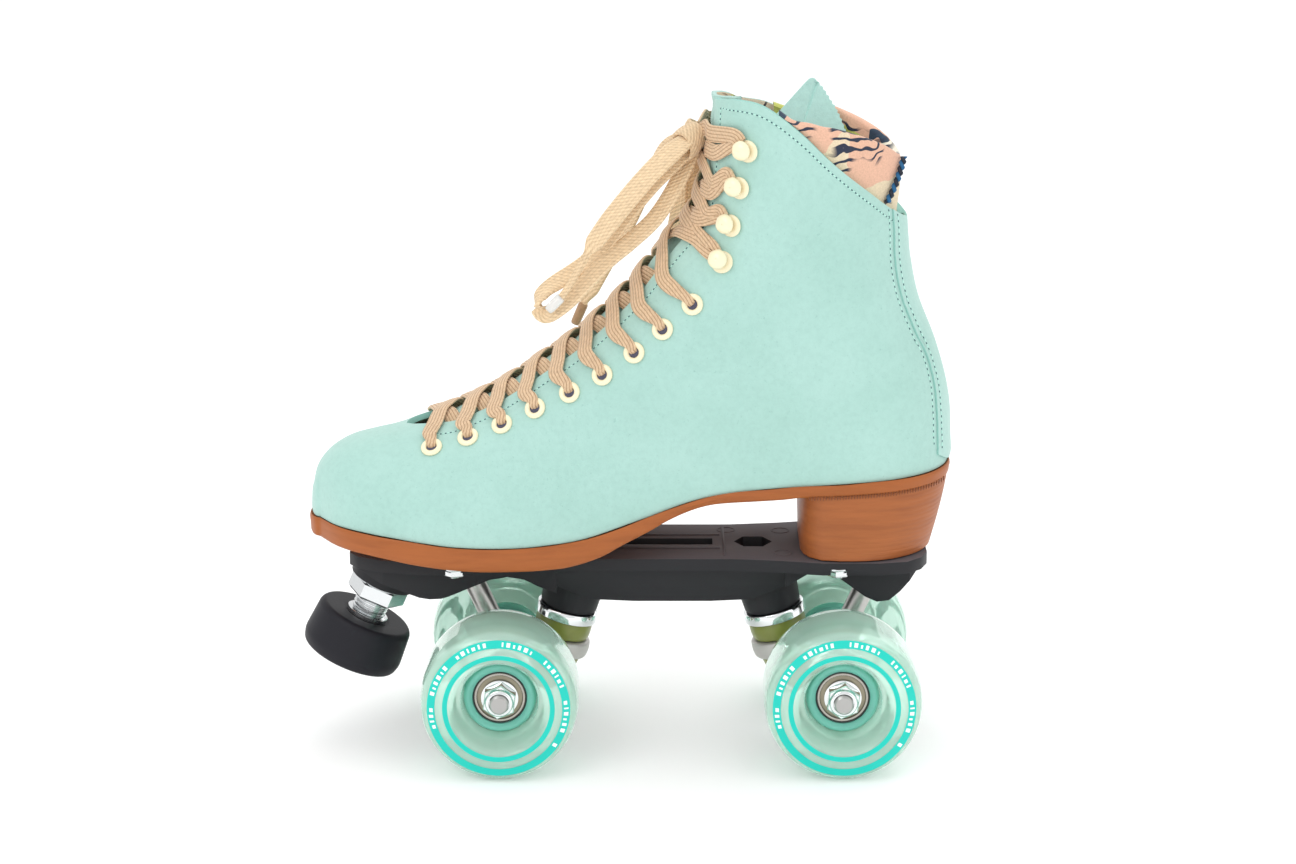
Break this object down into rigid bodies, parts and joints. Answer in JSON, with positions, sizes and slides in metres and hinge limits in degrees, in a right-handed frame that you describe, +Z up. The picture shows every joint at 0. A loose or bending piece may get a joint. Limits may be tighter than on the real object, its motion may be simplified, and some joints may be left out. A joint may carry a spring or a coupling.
{
  "type": "quad roller skate",
  "caption": "Laced suede quad roller skate: ankle boot with stacked heel on a moulded plate, cushioned steering trucks, translucent wheels on ball bearings and a toe stop",
  "frame": {"origin": "on the ground, under the middle of the skate's length and width (free laces left out)", "axes": "+Z up, the toe points along -X, and the inner side of the foot is towards -Y"},
  "size_m": [0.2714, 0.126, 0.2769],
  "materials": {
    "suede": "soft nap",
    "lining": "printed weave",
    "footbed": "matte",
    "enamel": "gloss cream paint",
    "lace": "woven",
    "sole": "waxed",
    "nylon": "satin",
    "stop_rubber": "satin",
    "urethane": "translucent",
    "hub": "translucent",
    "bearing": "polished",
    "cast_alloy": "cast",
    "steel": "satin",
    "cushion": "satin",
    "zinc": "bright plated"
  },
  "bodies": {
    "boot_and_plate": {"boot_upper": "suede", "tongue": "suede", "collar_lining": "lining", "footbed": "footbed", "backstay": "suede", "eyelet_row_inner": "enamel", "eyelet_row_outer": "enamel", "lacing": "lace", "lace_loop_inner": "lace", "lace_loop_outer": "lace", "lace_end_inner": "lace", "lace_end_outer": "lace", "outsole": "sole", "heel_block": "sole", "plate": "nylon", "mount_bolt_front_inner": "zinc", "mount_bolt_front_outer": "zinc", "mount_bolt_rear_inner": "zinc", "mount_bolt_rear_outer": "zinc", "toe_stop_nut": "zinc", "front_kingpin": "zinc", "front_kingpin_nut": "zinc", "front_cushion_retainer": "zinc", "front_cushion_upper": "cushion", "front_cushion_lower": "cushion", "front_pivot_cup": "nylon", "rear_kingpin": "zinc", "rear_kingpin_nut": "zinc", "rear_cushion_retainer": "zinc", "rear_cushion_upper": "cushion", "rear_cushion_lower": "cushion", "rear_pivot_cup": "nylon"},
    "toe_stop": {"toe_stop_rubber": "stop_rubber", "toe_stop_stem": "zinc"},
    "front_truck": {"front_truck_hanger": "cast_alloy", "front_axle": "steel", "front_inner_axle_nut": "zinc", "front_outer_axle_nut": "zinc"},
    "front_inner_wheel": {"front_inner_tyre": "urethane", "front_inner_hub": "hub", "front_inner_bearing_inboard": "bearing", "front_inner_bearing_outboard": "bearing"},
    "front_outer_wheel": {"front_outer_tyre": "urethane", "front_outer_hub": "hub", "front_outer_bearing_inboard": "bearing", "front_outer_bearing_outboard": "bearing"},
    "rear_truck": {"rear_truck_hanger": "cast_alloy", "rear_axle": "steel", "rear_inner_axle_nut": "zinc", "rear_outer_axle_nut": "zinc"},
    "rear_inner_wheel": {"rear_inner_tyre": "urethane", "rear_inner_hub": "hub", "rear_inner_bearing_inboard": "bearing", "rear_inner_bearing_outboard": "bearing"},
    "rear_outer_wheel": {"rear_outer_tyre": "urethane", "rear_outer_hub": "hub", "rear_outer_bearing_inboard": "bearing", "rear_outer_bearing_outboard": "bearing"}
  },
  "joints": [
    {"name": "toe_stop_height", "type": "slide", "parent": "boot_and_plate", "child": "toe_stop", "axis": [-0.4067, 0, -0.9135], "range_m": [-0.005, 0.004]},
    {"name": "front_truck_steer", "type": "hinge", "parent": "boot_and_plate", "child": "front_truck", "pos_m": [-0.0668, 0, 0.0737], "axis": [0.7564, 0, -0.6541], "range_deg": [-8, 8], "stiffness_Nm_per_rad": 30, "deforming": ["front_cushion_upper", "front_cushion_lower"]},
    {"name": "front_inner_wheel_spin", "type": "hinge", "parent": "front_truck", "child": "front_inner_wheel", "pos_m": [-0.0512, -0.044, 0.0325], "axis": [0, 1, 0], "continuous": true},
    {"name": "front_outer_wheel_spin", "type": "hinge", "parent": "front_truck", "child": "front_outer_wheel", "pos_m": [-0.0512, 0.044, 0.0325], "axis": [0, 1, 0], "continuous": true},
    {"name": "rear_truck_steer", "type": "hinge", "parent": "boot_and_plate", "child": "rear_truck", "pos_m": [0.1051, 0, 0.0737], "axis": [-0.7564, 0, -0.6541], "range_deg": [-8, 8], "stiffness_Nm_per_rad": 30, "deforming": ["rear_cushion_upper", "rear_cushion_lower"]},
    {"name": "rear_inner_wheel_spin", "type": "hinge", "parent": "rear_truck", "child": "rear_inner_wheel", "pos_m": [0.0895, -0.044, 0.0325], "axis": [0, 1, 0], "continuous": true},
    {"name": "rear_outer_wheel_spin", "type": "hinge", "parent": "rear_truck", "child": "rear_outer_wheel", "pos_m": [0.0895, 0.044, 0.0325], "axis": [0, 1, 0], "continuous": true}
  ]
}
